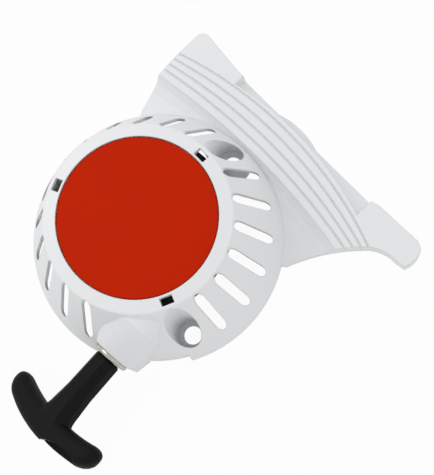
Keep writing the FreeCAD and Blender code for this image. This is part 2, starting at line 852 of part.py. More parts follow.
def build_rewind_spring():
    """A flat steel strip wound from the drum's arbor out to the case wall."""
    turns = dim("spring_turns").value
    strip = dim("spring_strip").value
    start = dim("arbor_radius").value + 0.4
    end = dim("case_radius").value - dim("case_wall").value - 0.4 - strip
    steps = int(turns * 8)

    def spiral(offset):
        points = []
        for index in range(steps + 1):
            angle = 2 * math.pi * turns * index / steps
            radius = start + offset + (end - start) * index / steps
            points.append(Vector(radius * math.cos(angle), radius * math.sin(angle), 0))
        curve = Part.BSplineCurve()
        curve.interpolate(points)
        return curve.toShape()

    inner, outer = spiral(0), spiral(strip)
    ends = [Part.makeLine(inner.Vertexes[index].Point, outer.Vertexes[index].Point)
            for index in (0, -1)]
    face = Part.Face(Part.Wire([inner, ends[1], outer, ends[0]]))
    item = doc.addObject("Part::Feature", "rewind_spring")
    item.Shape = face.extrude(Vector(0, 0, dim("spring_width").value))
    item.Placement = Placement(
        Vector(0, 0, (case_floor + dim("axial_gap")).value), Rotation())
    return node("rewind_spring", item)


# ---------------------------------------------------------------- drum and rope
def build_drum():
    """The rope drum: two flanges, a hub that runs on the post, and the spring arbor."""
    body = new_body("rope_drum")
    section = new_sketch(body, "drum_section", "XZ_Plane")
    bore = dim("post_radius") + dim("running_gap")
    low_face = flange_low + dim("flange_thickness")
    high_face = flange_high - dim("flange_thickness")
    outline(section,
            (bore, hub_bottom), (hub_radius, hub_bottom), (hub_radius, flange_low),
            (dim("drum_flange"), flange_low), (dim("drum_flange"), low_face),
            (dim("drum_core"), low_face), (dim("drum_core"), high_face),
            (dim("drum_flange"), high_face), (dim("drum_flange"), flange_high),
            (dim("arbor_radius"), flange_high), (dim("arbor_radius"), arbor_top),
            (bore, arbor_top))
    turn(body, section)
    knot = new_sketch(body, "knot_recess", offset=flange_high)
    circle(knot, drum_knot_centre, dim("drum_knot_radius") + dim("knot_gap"))
    pocket(body, knot, dim("flange_thickness"))
    pins = new_sketch(body, "pin_holes", offset=flange_low)
    for angle in (0, 180):
        circle(pins, polar(dim("pin_circle"), angle), dim("pin_radius") * 0.6)
    pocket(body, pins, dim("flange_thickness"), reverse=True)
    return node("rope_drum", body)


def build_rope_coil():
    """The wound rope's outer shape: a ring that fills the drum's groove."""
    body = new_body("rope_coil")
    section = new_sketch(body, "coil_section", "XZ_Plane")
    half = dim("groove_half") - 0.1
    outline(section,
            (coil_inner, dim("rope_height") - half), (coil_outer, dim("rope_height") - half),
            (coil_outer, dim("rope_height") + half), (coil_inner, dim("rope_height") + half))
    turn(body, section)
    return node("rope_coil", body)


def build_drum_knot():
    """The knot that anchors the rope in the drum's upper flange."""
    body = new_body("drum_knot")
    knot = new_sketch(body, "knot", offset=flange_high - dim("flange_thickness"))
    circle(knot, drum_knot_centre, dim("drum_knot_radius"))
    pad(body, knot, dim("flange_thickness") + 0.8)
    return node("drum_knot", body)


def build_rope_lead():
    """The straight stretch from the drum, through the ferrule and the handle's stem."""
    body = new_body("rope_lead")
    section = new_sketch(body, "lead_circle", "XZ_Plane", offset=lead_start)
    circle(section, (outlet_x, dim("rope_height")), dim("rope_radius"))
    pad(body, section, -pocket_floor + 1.55 - lead_start)
    return node("rope_lead", swing(body))


# ---------------------------------------------------------------- pawls and their guide
def build_pin(name, angle):
    """One pin: a shank that carries the pawl and a spigot in the flange."""
    shank = doc.addObject("Part::Cylinder", f"{name}_shank")
    spigot = doc.addObject("Part::Cylinder", f"{name}_spigot")
    centre = polar(dim("pin_circle"), angle)
    for item, radius, bottom, height in (
            (shank, dim("pin_radius"), pawl_bottom, flange_low - pawl_bottom),
            (spigot, dim("pin_radius") * 0.6 - 0.02, flange_low, dim("flange_thickness"))):
        bind(item, "Radius", radius)
        bind(item, "Height", height)
        bind(item, "Placement.Base.x", centre[0])
        bind(item, "Placement.Base.y", centre[1])
        bind(item, "Placement.Base.z", bottom)
    return boolean("MultiFuse", name, shank, spigot)


def build_pins():
    group = doc.addObject("Part::Compound", "pawl_pin_group")
    group.Links = [build_pin("pawl_pin_1", 0), build_pin("pawl_pin_2", 180)]
    doc.recompute()
    return node("pawl_pins", group)


def build_pawl(name, turned):
    """A hooked pawl on its pin; its nose points the way the drum is pulled round."""
    body = new_body(name)
    plate = new_sketch(body, "pawl_plate", offset=pawl_bottom)
    pin_x = dim("pin_circle")
    half = dim("pin_radius") + 1.8
    nose_y = -dim("pawl_length")
    outline(plate,
            (pin_x + half, 0), ("via", (pin_x, half)), (pin_x - half, 0),
            (pin_x - 4.2, nose_y + 3), (pin_x - 2.6, nose_y),
            (pin_x + 0.6, nose_y - 0.6), (pin_x + 1.6, nose_y + 3.2))
    pad(body, plate, dim("pawl_thickness"))
    bore = new_sketch(body, "pawl_bore", offset=pawl_top)
    circle(bore, (pin_x, 0), dim("pin_radius") + dim("running_gap"))
    pocket(body, bore, dim("pawl_thickness"))
    peg = new_sketch(body, "pawl_peg", offset=guide_bottom)
    circle(peg, (pin_x - 1.2, -dim("pawl_peg_arm")), dim("pawl_peg_radius"))
    pad(body, peg, pawl_bottom - guide_bottom + 0.5)
    body.Placement = Placement(Vector(0, 0, 0), Rotation(Vector(0, 0, 1), turned))
    return node(name, body)


def build_guide():
    """The friction guide plate with a slanted slot for each pawl's peg."""
    body = new_body("pawl_guide")
    disc = new_sketch(body, "guide_disc", offset=guide_bottom)
    circle(disc, (0, 0), dim("guide_radius"))
    circle(disc, (0, 0), dim("bush_radius") + dim("running_gap"))
    pad(body, disc, dim("guide_thickness"))
    half = dim("pawl_peg_radius") + 0.55
    rest = (dim("pin_circle") - 1.2, -dim("pawl_peg_arm"))
    worked = (rest[0] + 1.3, rest[1] - 5.2)
    slope = math.atan2((worked[1] - rest[1]).value, (worked[0] - rest[0]).value)
    across_x = -half * math.sin(slope)
    across_y = half * math.cos(slope)
    along_x = half * math.cos(slope)
    along_y = half * math.sin(slope)
    slot = new_sketch(body, "peg_slot", offset=guide_top)
    outline(slot,
            (rest[0] - across_x, rest[1] - across_y),
            (worked[0] - across_x, worked[1] - across_y),
            ("via", (worked[0] + along_x, worked[1] + along_y)),
            (worked[0] + across_x, worked[1] + across_y),
            (rest[0] + across_x, rest[1] + across_y),
            ("via", (rest[0] - along_x, rest[1] - along_y)))
    cut = pocket(body, slot, dim("guide_thickness"))
    ring_pattern(body, cut, 2, as_size(180))
    return node("pawl_guide", body)


def build_centre_stack():
    """The bush, friction spring, washer and screw that hold the drum on its post."""
    bush = new_body("guide_bush")
    tube = new_sketch(bush, "bush_rings", offset=bush_bottom)
    circle(tube, (0, 0), dim("bush_radius"))
    circle(tube, (0, 0), dim("screw_radius") + 0.1)
    pad(bush, tube, dim("post_bottom") - bush_bottom)
    node("guide_bush", bush)

    washer = new_body("centre_washer")
    ring = new_sketch(washer, "washer_rings", offset=washer_bottom)
    circle(ring, (0, 0), dim("washer_radius"))
    circle(ring, (0, 0), dim("screw_radius") + 0.1)
    pad(washer, ring, dim("washer_thickness"))
    node("centre_washer", washer)

    screw = new_body("centre_screw")
    section = new_sketch(screw, "screw_section", "XZ_Plane")
    head_low = washer_bottom - 3.6
    outline(section,
            (0, head_low), (5.2, head_low), (5.6, head_low + 0.8), (5.6, washer_bottom),
            (dim("screw_radius"), washer_bottom),
            (dim("screw_radius"), dim("post_bottom") + 14), (0, dim("post_bottom") + 15))
    turn(screw, section)
    socket = new_sketch(screw, "hex_socket", offset=head_low)
    outline(socket, *[polar(as_size(2.6), 60 * index) for index in range(6)])
    pocket(screw, socket, 2.2, reverse=True)
    node("centre_screw", screw)

    clip = new_body("friction_spring")
    wire = new_sketch(clip, "wire", "XZ_Plane")
    circle(wire, (6.6, (bush_bottom + guide_bottom) / 2), 0.95)
    turn(clip, wire, angle=320)
    node("friction_spring", clip)


# ---------------------------------------------------------------- ferrule and handle
def build_ferrule():
    """The polished eyelet that guides the rope out of the spout."""
    body = new_body("rope_ferrule")
    section = new_sketch(body, "ferrule_section", "XY_Plane", offset=dim("rope_height"))
    bore = dim("ferrule_bore")
    end = -spout_end
    flange = dim("ferrule_radius")
    face = ferrule_face
    outline(section,
            (outlet_x + bore, end + 5), (outlet_x + dim("ferrule_tube"), end + 5),
            (outlet_x + dim("ferrule_tube"), end), (outlet_x + flange - 0.4, end),
            ("via", (outlet_x + flange, (end + face) / 2)),
            (outlet_x + flange - 0.8, face), (outlet_x + bore + 1.6, face),
            ("via", (outlet_x + bore + 0.5, face + 0.5)),
            (outlet_x + bore, face + 1.6))
    axis = section.addGeometry(
        Part.LineSegment(flat((outlet_x, face)), flat((outlet_x, end))), True)
    place_point(section, axis, 1, (outlet_x, face))
    place_point(section, axis, 2, (outlet_x, end))
    turn(body, section, axis="Axis0")
    return node("rope_ferrule", swing(body))


def build_handle():
    """The T grip: a stem along the rope and a bowed bar, hollowed from outside."""
    body = new_body("handle_grip")
    half_stem = dim("stem_width") / 2
    half_bar = dim("bar_length") / 2
    round_end = dim("bar_end")
    plan = new_sketch(body, "grip_plan")
    tip = half_bar - round_end
    low = bar_end_y + dim("bar_bow")
    outline(plan,
            (half_stem, stem_start), (half_stem, stem_end + 2),
            ("via", (half_stem + 1, stem_end - 1.2)),
            (half_stem + 4, stem_end - 2.6),
            (tip, low + 2 * round_end - 1),
            ("via", (half_bar, low + round_end)),
            (tip, low),
            ("via", (0, bar_end_y)),
            (-tip, low),
            ("via", (-half_bar, low + round_end)),
            (-tip, low + 2 * round_end - 1),
            (-half_stem - 4, stem_end - 2.6),
            ("via", (-half_stem - 1, stem_end - 1.2)),
            (-half_stem, stem_end + 2),
            (-half_stem, stem_start))
    pad(body, plan, dim("stem_thickness"), midplane=True)
    pocket_plan = new_sketch(body, "pocket_plan")
    pocket_tip = tip - 2
    outline(pocket_plan,
            (-pocket_tip, bar_end_y - 2), (pocket_tip, bar_end_y - 2),
            (pocket_tip, low + 5),
            ("via", (0, pocket_floor)),
            (-pocket_tip, low + 5))
    pocket(body, pocket_plan, dim("pocket_width"), midplane=True)
    bore = new_sketch(body, "rope_bore", "XZ_Plane", offset=-stem_start - 1)
    circle(bore, (0, 0), dim("handle_bore"))
    pocket(body, bore, -pocket_floor + stem_start + 3, reverse=True)
    twist = Placement(Vector(0, 0, 0), Rotation(Vector(0, 1, 0), -dim("handle_twist").value))
    shift = Placement(Vector(outlet_x.value, 0, dim("rope_height").value), Rotation())
    body.Placement = rope_frame * shift * twist
    doc.recompute()
    return node("handle_grip", body)


def build_rope_end():
    """The washer and the knot that stop the rope in the handle's pocket."""
    washer = new_body("rope_washer")
    ring = new_sketch(washer, "washer_rings", "XZ_Plane", offset=-pocket_floor + 0.1)
    circle(ring, (outlet_x, dim("rope_height")), 3.3)
    circle(ring, (outlet_x, dim("rope_height")), dim("rope_radius") + 0.05)
    pad(washer, ring, 1.0)
    node("rope_washer", swing(washer))

    knot = new_body("handle_knot")
    section = new_sketch(knot, "knot_section", "XY_Plane", offset=dim("rope_height"))
    top = pocket_floor - 1.6
    radius = dim("knot_radius")
    outline(section,
            (outlet_x, top), (outlet_x + radius - 1.2, top), (outlet_x + radius, top - 1.2),
            (outlet_x + radius, top - 2 * radius + 1.2),
            (outlet_x + radius - 1.2, top - 2 * radius), (outlet_x, top - 2 * radius))
    axis = section.addGeometry(
        Part.LineSegment(flat((outlet_x, top)), flat((outlet_x, top - 2))), True)
    place_point(section, axis, 1, (outlet_x, top))
    place_point(section, axis, 2, (outlet_x, top - 2))
    turn(knot, section, axis="Axis0")
    node("handle_knot", swing(knot))


# ---------------------------------------------------------------- build, check, write
build_housing()
build_front_cover()
build_spring_case()
build_spring_cover()
build_case_screws()
build_rewind_spring()
build_drum()
build_rope_coil()
build_drum_knot()
build_rope_lead()
build_pins()
build_pawl("pawl_a", 0)
build_pawl("pawl_b", 180)
build_guide()
build_centre_stack()
build_ferrule()
build_handle()
build_rope_end()
doc.recompute()

for item in doc.Objects:
    if "Invalid" in item.State or "Error" in item.State:
        raise RuntimeError(f"{item.Name} failed: {item.State}")
for name, item in nodes.items():
    shape = item.Shape
    if shape.isNull() or not shape.isValid() or not shape.Solids:
        raise RuntimeError(f"{name} has no valid solid")
    box = shape.BoundBox
    print(f"{name}: {len(shape.Solids)} solid(s), {shape.Volume / 1000:.2f} cm3, "
          f"x {box.XMin:.1f}..{box.XMax:.1f} y {box.YMin:.1f}..{box.YMax:.1f} "
          f"z {box.ZMin:.1f}..{box.ZMax:.1f}")

os.makedirs("parts", exist_ok=True)
for name, item in nodes.items():
    item.Shape.exportStep(f"parts/{name}.step")
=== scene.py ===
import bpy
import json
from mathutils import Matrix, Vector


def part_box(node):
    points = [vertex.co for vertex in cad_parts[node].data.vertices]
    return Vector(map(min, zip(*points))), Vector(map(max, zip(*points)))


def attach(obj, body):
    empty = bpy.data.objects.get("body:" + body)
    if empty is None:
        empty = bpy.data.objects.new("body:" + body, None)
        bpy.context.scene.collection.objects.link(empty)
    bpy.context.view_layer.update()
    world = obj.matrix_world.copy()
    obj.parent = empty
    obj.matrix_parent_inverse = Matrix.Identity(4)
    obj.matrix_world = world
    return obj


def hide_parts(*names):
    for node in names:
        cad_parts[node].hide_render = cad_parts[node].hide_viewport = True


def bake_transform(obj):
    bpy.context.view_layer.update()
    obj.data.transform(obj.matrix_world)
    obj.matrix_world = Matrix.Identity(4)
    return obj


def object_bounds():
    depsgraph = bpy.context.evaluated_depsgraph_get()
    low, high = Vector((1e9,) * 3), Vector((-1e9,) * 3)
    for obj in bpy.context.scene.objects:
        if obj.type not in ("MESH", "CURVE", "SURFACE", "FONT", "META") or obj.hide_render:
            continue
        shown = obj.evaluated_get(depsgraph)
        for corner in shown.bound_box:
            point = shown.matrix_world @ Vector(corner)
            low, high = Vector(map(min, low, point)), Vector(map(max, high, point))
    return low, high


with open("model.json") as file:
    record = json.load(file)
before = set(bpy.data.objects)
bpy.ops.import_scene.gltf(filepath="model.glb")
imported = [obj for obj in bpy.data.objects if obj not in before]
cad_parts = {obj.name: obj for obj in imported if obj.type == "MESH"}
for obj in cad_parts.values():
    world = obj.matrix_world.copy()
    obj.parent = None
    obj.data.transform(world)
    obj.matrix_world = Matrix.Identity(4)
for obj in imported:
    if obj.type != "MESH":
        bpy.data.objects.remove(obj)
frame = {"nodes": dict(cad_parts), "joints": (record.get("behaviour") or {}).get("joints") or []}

"""Looks of a pull-rope starter for a small engine, laid out as an add-on and run as a script."""

import json
import math

import bmesh
import bpy
from bpy.props import (
    FloatProperty,
    FloatVectorProperty,
    IntProperty,
    PointerProperty,
)
from mathutils import Matrix, Vector

CAD_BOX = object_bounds()

bl_info = {
    "name": "Recoil starter looks",
    "version": (1, 0, 0),
    "blender": (4, 5, 0),
    "location": "3D View > Sidebar > Starter",
    "description": "Builds the finished surfaces and soft pieces of a recoil starter",
    "category": "Object",
}

MM = 0.001
JOINTS = {joint["name"]: joint for joint in frame["joints"]}
ROPE_POINT = Vector(JOINTS["handle_twist"]["pos_m"])
ROPE_WAY = Vector(JOINTS["handle_twist"]["axis"]).normalized()
COIL_LOW, COIL_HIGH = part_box("rope_coil")

# Black nylon of the spring case; the same black is put on the spring cover as painted shade seen
# through the housing's windows
CASE_AND_SHADE_COLOUR = (0.045, 0.046, 0.05)
SPRING_COLOUR = (0.30, 0.33, 0.40)
PAWL_COLOUR = (0.36, 0.35, 0.34)
DUST_COLOUR = (0.45, 0.43, 0.40, 1.0)


# ---------------------------------------------------------------- settings
class StarterColours(bpy.types.PropertyGroup):
    """Colours of the starter's finishes."""

    shell: FloatVectorProperty(
        name="Shell", description="Grey-white moulding", subtype="COLOR", size=3,
        default=(0.86, 0.872, 0.885), min=0, max=1)
    cover: FloatVectorProperty(
        name="Cover", description="Orange-red front disc", subtype="COLOR", size=3,
        default=(0.58, 0.019, 0.0005), min=0, max=1)
    grip: FloatVectorProperty(
        name="Grip", description="Black T-handle", subtype="COLOR", size=3,
        default=(0.006, 0.006, 0.007), min=0, max=1)
    drum: FloatVectorProperty(
        name="Drum", description="Glass-filled nylon", subtype="COLOR", size=3,
        default=(0.035, 0.036, 0.040), min=0, max=1)
    rope: FloatVectorProperty(
        name="Rope", description="Braided cord", subtype="COLOR", size=3,
        default=(0.62, 0.60, 0.55), min=0, max=1)
    nickel: FloatVectorProperty(
        name="Nickel", description="Plated eyelet", subtype="COLOR", size=3,
        default=(0.72, 0.69, 0.62), min=0, max=1)
    zinc: FloatVectorProperty(
        name="Zinc", description="Zinc-plated steel", subtype="COLOR", size=3,
        default=(0.60, 0.61, 0.61), min=0, max=1)


class StarterSizes(bpy.types.PropertyGroup):
    """Sizes of the pieces that are built here."""

    edge_round: FloatProperty(
        name="Edge rounding", description="Radius of the moulded edges", unit="LENGTH",
        default=0.7 * MM, min=0)
    grip_twist: FloatProperty(
        name="Grip twist", description="How far the T-handle is turned about the rope",
        subtype="ANGLE", default=math.radians(26))
    stem_half_width: FloatProperty(
        name="Stem half width", description="Half the stem's width", unit="LENGTH",
        default=6.75 * MM, min=0)
    stem_half_depth: FloatProperty(
        name="Stem half depth", description="Half the stem's thickness", unit="LENGTH",
        default=6.25 * MM, min=0)
    stem_facet: FloatProperty(
        name="Stem facet", description="Chamfer along the stem's four corners",
        unit="LENGTH", default=3.6 * MM, min=0)
    bar_half_length: FloatProperty(
        name="Bar half length", description="Half the length of the T-bar", unit="LENGTH",
        default=36.0 * MM, min=0)
    bar_bow: FloatProperty(
        name="Bar bow", description="How far the bar's ends sweep back", unit="LENGTH",
        default=8.0 * MM)
    rope_radius: FloatProperty(
        name="Rope radius", description="Half the rope's diameter", unit="LENGTH",
        default=1.75 * MM, min=0)
    coil_turns: IntProperty(
        name="Coil turns", description="Turns of rope in each layer on the drum",
        default=3, min=1)


class StarterStage(bpy.types.PropertyGroup):
    """Camera placement and lens."""

    target: FloatVectorProperty(
        name="Target", description="Point that the camera looks at", subtype="TRANSLATION",
        size=3, default=(0.0209, 0.0219, 0.0))
    distance: FloatProperty(
        name="Distance", description="From the target to the camera", unit="LENGTH",
        default=0.6618, min=0)
    elevation: FloatProperty(
        name="Elevation", description="Camera's height above the horizon",
        subtype="ANGLE", default=math.radians(77.74))
    heading: FloatProperty(
        name="Heading", description="Side from which the camera looks, from +X",
        subtype="ANGLE", default=math.radians(-7.15))
    up_heading: FloatProperty(
        name="Up heading", description="Direction that is upright in the picture, from +X",
        subtype="ANGLE", default=math.radians(136.47))
    lens: FloatProperty(
        name="Lens", description="Focal length on a 36 mm sensor", default=98.5, min=1)


# ---------------------------------------------------------------- node tools
class Tree:
    """A short way to add and link nodes."""

    def __init__(self, tree):
        self.tree = tree

    def add(self, kind, inputs=None, **settings):
        made = self.tree.nodes.new(kind)
        for key, value in settings.items():
            setattr(made, key, value)
        for key, value in (inputs or {}).items():
            if isinstance(value, bpy.types.NodeSocket):
                self.tree.links.new(value, made.inputs[key])
            else:
                made.inputs[key].default_value = value
        return made

    def math(self, operation, first, second=0.0, clamp=False):
        made = self.add("ShaderNodeMath", {0: first, 1: second}, operation=operation)
        made.use_clamp = clamp
        return made.outputs[0]

    def mix(self, factor, first, second):
        made = self.add("ShaderNodeMix", data_type="RGBA")
        for index, value in ((0, factor), (6, first), (7, second)):
            if isinstance(value, bpy.types.NodeSocket):
                self.tree.links.new(value, made.inputs[index])
            else:
                made.inputs[index].default_value = value
        return made.outputs[2]

    def ramp(self, value, low, high, to_low=0.0, to_high=1.0):
        made = self.add("ShaderNodeMapRange", {
            "Value": value, "From Min": low, "From Max": high,
            "To Min": to_low, "To Max": to_high})
        return made.outputs["Result"]


def new_group(name, inputs, outputs):
    """A shader node group with float inputs and outputs of the given kinds."""
    group = bpy.data.node_groups.new(name, "ShaderNodeTree")
    for socket, default in inputs.items():
        made = group.interface.new_socket(socket, in_out="INPUT", socket_type="NodeSocketFloat")
        made.default_value = default
    for socket, kind in outputs.items():
        group.interface.new_socket(socket, in_out="OUTPUT", socket_type=kind)
    tree = Tree(group)
    return tree, tree.add("NodeGroupInput").outputs, tree.add("NodeGroupOutput").inputs


def grain_group():
    """Fine moulded grain with slow unevenness: a height and a roughness shift."""
    tree, given, out = new_group(
        "moulded_grain",
        {"Grain Size": 0.0004, "Wave Size": 0.02, "Grain": 1.0, "Wave": 0.5},
        {"Height": "NodeSocketFloat", "Unevenness": "NodeSocketFloat"})
    place = tree.add("ShaderNodeTexCoord").outputs["Object"]
    fine = tree.add("ShaderNodeTexNoise", {
        "Vector": place, "Scale": tree.math("DIVIDE", 1.0, given["Grain Size"]),
        "Detail": 2.0, "Roughness": 0.6})
    slow = tree.add("ShaderNodeTexNoise", {
        "Vector": place, "Scale": tree.math("DIVIDE", 1.0, given["Wave Size"]),
        "Detail": 3.0, "Roughness": 0.5})
    height = tree.math("MULTIPLY", fine.outputs["Fac"], given["Grain"])
    wave = tree.math("MULTIPLY", slow.outputs["Fac"], given["Wave"])
    tree.tree.links.new(tree.math("ADD", height, wave), out["Height"])
    tree.tree.links.new(slow.outputs["Fac"], out["Unevenness"])
    return tree.tree


def wear_group():
    """Edges: a mask where the surface turns sharply, and the rounded normal."""
    tree, given, out = new_group(
        "edge_wear", {"Radius": 0.0007, "Spread": 0.25, "Breakup Size": 0.004},
        {"Mask": "NodeSocketFloat", "Normal": "NodeSocketVector"})
    rounded = tree.add("ShaderNodeBevel", {"Radius": given["Radius"]}, samples=6)
    true_normal = tree.add("ShaderNodeNewGeometry").outputs["Normal"]
    likeness = tree.add("ShaderNodeVectorMath", {
        0: rounded.outputs["Normal"], 1: true_normal}, operation="DOT_PRODUCT")
    turned = tree.math("SUBTRACT", 1.0, likeness.outputs["Value"])
    place = tree.add("ShaderNodeTexCoord").outputs["Object"]
    noise = tree.add("ShaderNodeTexNoise", {
        "Vector": place, "Scale": tree.math("DIVIDE", 1.0, given["Breakup Size"]),
        "Detail": 4.0})
    broken = tree.math("MULTIPLY", turned, tree.math("MULTIPLY", noise.outputs["Fac"], 2.0))
    mask = tree.math("DIVIDE", broken, given["Spread"], clamp=True)
    tree.tree.links.new(mask, out["Mask"])
    tree.tree.links.new(rounded.outputs["Normal"], out["Normal"])
    return tree.tree


def dust_group():
    """Specks and smudges scattered over a surface."""
    tree, given, out = new_group(
        "dust", {"Speck Size": 0.0012, "Amount": 0.3}, {"Mask": "NodeSocketFloat"})
    place = tree.add("ShaderNodeTexCoord").outputs["Object"]
    specks = tree.add("ShaderNodeTexVoronoi", {
        "Vector": place, "Scale": tree.math("DIVIDE", 1.0, given["Speck Size"])})
    dots = tree.ramp(specks.outputs["Distance"], 0.10, 0.02)
    cloud = tree.add("ShaderNodeTexNoise", {"Vector": place, "Scale": 60.0, "Detail": 5.0})
    patch = tree.ramp(cloud.outputs["Fac"], 0.55, 0.75)
    both = tree.math("MULTIPLY", dots, patch, clamp=True)
    tree.tree.links.new(tree.math("MULTIPLY", both, given["Amount"]), out["Mask"])
    return tree.tree


GROUPS = {}


def group_node(tree, name, inputs):
    """A shared effect placed in a material."""
    makers = {"moulded_grain": grain_group, "edge_wear": wear_group, "dust": dust_group}
    if name not in GROUPS:
        GROUPS[name] = makers[name]()
    made = tree.add("ShaderNodeGroup", node_tree=GROUPS[name])
    for key, value in inputs.items():
        made.inputs[key].default_value = value
    return made.outputs


def start_material(name):
    """A material with its Principled shader, ready for links."""
    material = bpy.data.materials.new(name)
    material.use_nodes = True
    tree = Tree(material.node_tree)
    shader = material.node_tree.nodes["Principled BSDF"]
    return material, tree, shader


def plastic(name, colour, rough, edge, grain_size=0.0004, grain=0.5, wave=0.3,
            depth=0.00004, lift=1.0, vary=0.05, wear=0.15, wave_size=0.02, specular=0.5):
    """Moulded plastic: grain, rounded and slightly paler edges, uneven gloss and dust."""
    material, tree, shader = start_material(name)
    grains = group_node(tree, "moulded_grain", {
        "Grain Size": grain_size, "Grain": grain, "Wave": wave, "Wave Size": wave_size})
    edges = group_node(tree, "edge_wear", {"Radius": edge})
    dust = group_node(tree, "dust", {"Amount": 0.25})
    base = (*colour, 1.0)
    dark = (*[part * (1.0 - vary) for part in colour], 1.0)
    pale = (*[min(1.0, part * lift + 0.01) for part in colour], 1.0)
    body = tree.mix(grains["Unevenness"], dark, base)
    worn = tree.mix(tree.math("MULTIPLY", edges["Mask"], wear), body, pale)
    dusted = tree.mix(dust["Mask"], worn, DUST_COLOUR)
    links = material.node_tree.links
    links.new(dusted, shader.inputs["Base Color"])
    links.new(tree.ramp(grains["Unevenness"], 0.2, 0.8, rough - 0.06, rough + 0.06),
              shader.inputs["Roughness"])
    bump = tree.add("ShaderNodeBump", {
        "Height": grains["Height"], "Distance": depth, "Strength": 0.6,
        "Normal": edges["Normal"]})
    links.new(bump.outputs["Normal"], shader.inputs["Normal"])
    shader.inputs["Specular IOR Level"].default_value = specular
    return material


def metal(name, colour, rough, edge=0.0002, scratch=0.3, grain_size=0.0006, streak=None):
    """Plated or bare steel: fine scratches, uneven gloss and brighter edges."""
    material, tree, shader = start_material(name)
    edges = group_node(tree, "edge_wear", {"Radius": edge, "Spread": 0.15})
    grains = group_node(tree, "moulded_grain", {
        "Grain Size": grain_size, "Grain": scratch, "Wave": 0.3, "Wave Size": 0.006})
    place = tree.add("ShaderNodeTexCoord").outputs["Object"]
    stretched = tree.add("ShaderNodeMapping", {
        "Vector": place, "Scale": streak or (40.0, 40.0, 2500.0)})
    lines = tree.add("ShaderNodeTexNoise", {
        "Vector": stretched.outputs["Vector"], "Scale": 1.0, "Detail": 3.0})
    dark = (*[part * 0.72 for part in colour], 1.0)
    pale = (*[min(1.0, part * 1.15) for part in colour], 1.0)
    body = tree.mix(tree.ramp(lines.outputs["Fac"], 0.3, 0.7), dark, (*colour, 1.0))
    bright = tree.mix(edges["Mask"], body, pale)
    links = material.node_tree.links
    links.new(bright, shader.inputs["Base Color"])
    shader.inputs["Metallic"].default_value = 1.0
    links.new(tree.ramp(grains["Unevenness"], 0.25, 0.75, rough - 0.07, rough + 0.10),
              shader.inputs["Roughness"])
    height = tree.math("ADD", grains["Height"],
                       tree.math("MULTIPLY", lines.outputs["Fac"], scratch))
    bump = tree.add("ShaderNodeBump", {
        "Height": height, "Distance": 0.00003, "Strength": 0.5, "Normal": edges["Normal"]})
    links.new(bump.outputs["Normal"], shader.inputs["Normal"])
    return material


def braided_rope(name, colour, radius):
    """Braided cord, patterned along the rope by the mesh's own UV map, with painted shade in the
    grooves between strands.
    """
    material, tree, shader = start_material(name)
    uv = tree.add("ShaderNodeUVMap", uv_map="along")
    split = tree.add("ShaderNodeSeparateXYZ", {"Vector": uv.outputs["UV"]})
    around, along = split.outputs["X"], split.outputs["Y"]
    strands = 8.0
    left = tree.math("SINE", tree.math("MULTIPLY", math.tau, tree.math(
        "ADD", tree.math("MULTIPLY", around, strands), along)))
    right = tree.math("SINE", tree.math("MULTIPLY", math.tau, tree.math(
        "SUBTRACT", tree.math("MULTIPLY", around, strands), along)))
    plait = tree.math("MAXIMUM", left, right)
    fibres = tree.add("ShaderNodeTexNoise", {
        "Vector": uv.outputs["UV"], "Scale": 40.0, "Detail": 3.0})
    height = tree.math("ADD", plait, tree.math("MULTIPLY", fibres.outputs["Fac"], 0.5))
    # The plait's low grooves are darkened in the base colour: painted shade between the strands,
    # added to the bump's relief
    low = (*[part * 0.45 for part in colour], 1.0)
    body = tree.mix(tree.ramp(plait, -0.3, 0.9), low, (*colour, 1.0))
    links = material.node_tree.links
    links.new(body, shader.inputs["Base Color"])
    links.new(tree.ramp(fibres.outputs["Fac"], 0.3, 0.7, 0.7, 0.95),
              shader.inputs["Roughness"])
    bump = tree.add("ShaderNodeBump", {
        "Height": height, "Distance": radius * 0.18, "Strength": 0.8})
    links.new(bump.outputs["Normal"], shader.inputs["Normal"])
    return material


def dress(node, material):
    """Give a CAD node its finish, and leave its shape alone."""
    item = frame["nodes"][node]
    item.data.materials.clear()
    item.data.materials.append(material)
    return item


# ---------------------------------------------------------------- mesh tools
def mesh_object(name, vertices, faces, material, smooth=True):
    """A mesh object at the origin, with outward faces."""
    mesh = bpy.data.meshes.new(name)
    mesh.from_pydata([tuple(point) for point in vertices], [], faces)
    work = bmesh.new()
    work.from_mesh(mesh)
    bmesh.ops.recalc_face_normals(work, faces=work.faces)
    work.to_mesh(mesh)
    work.free()
    for face in mesh.polygons:
        face.use_smooth = smooth
    made = bpy.data.objects.new(name, mesh)
    bpy.context.scene.collection.objects.link(made)
    if material:
        mesh.materials.append(material)
    return made


def loft(sections):
    """Vertices and faces of a closed skin through rings of equal count."""
    count = len(sections[0])
    vertices = [point for ring in sections for point in ring]
    faces = []
    for row in range(len(sections) - 1):
        for column in range(count):
            step = (column + 1) % count
            faces.append((row * count + column, row * count + step,
                          (row + 1) * count + step, (row + 1) * count + column))
    faces.append(tuple(range(count))[::-1])
    last = (len(sections) - 1) * count
    faces.append(tuple(last + column for column in range(count)))
    return vertices, faces


def evaluated(item, name, material):
    """The item with its modifiers applied, as a plain mesh in its place."""
    graph = bpy.context.evaluated_depsgraph_get()
    mesh = bpy.data.meshes.new_from_object(item.evaluated_get(graph))
    source = item.data
    bpy.data.objects.remove(item)
    if source.users == 0 and isinstance(source, bpy.types.Mesh):
        bpy.data.meshes.remove(source)
    made = bpy.data.objects.new(name, mesh)
    mesh.name = name
    bpy.context.scene.collection.objects.link(made)
    mesh.materials.clear()
    mesh.materials.append(material)
    for face in mesh.polygons:
        face.use_smooth = True
    return made


# ---------------------------------------------------------------- T-handle
BAR_STEPS = 40
# Half sizes of the bar at its middle and how much they lose by its ends, in millimetres
BAR_HALF_DEPTH, BAR_DEPTH_LOSS = 7.4, 1.2
BAR_HALF_HEIGHT, BAR_HEIGHT_LOSS = 6.6, 0.5
# Share of the half length where an end starts to round off, and the share it takes
BAR_ROUND_FROM, BAR_ROUND_SPAN = 0.80, 0.20
STEM_END_CHAMFER, STEM_END_SHARE = 0.8 * MM, 0.94
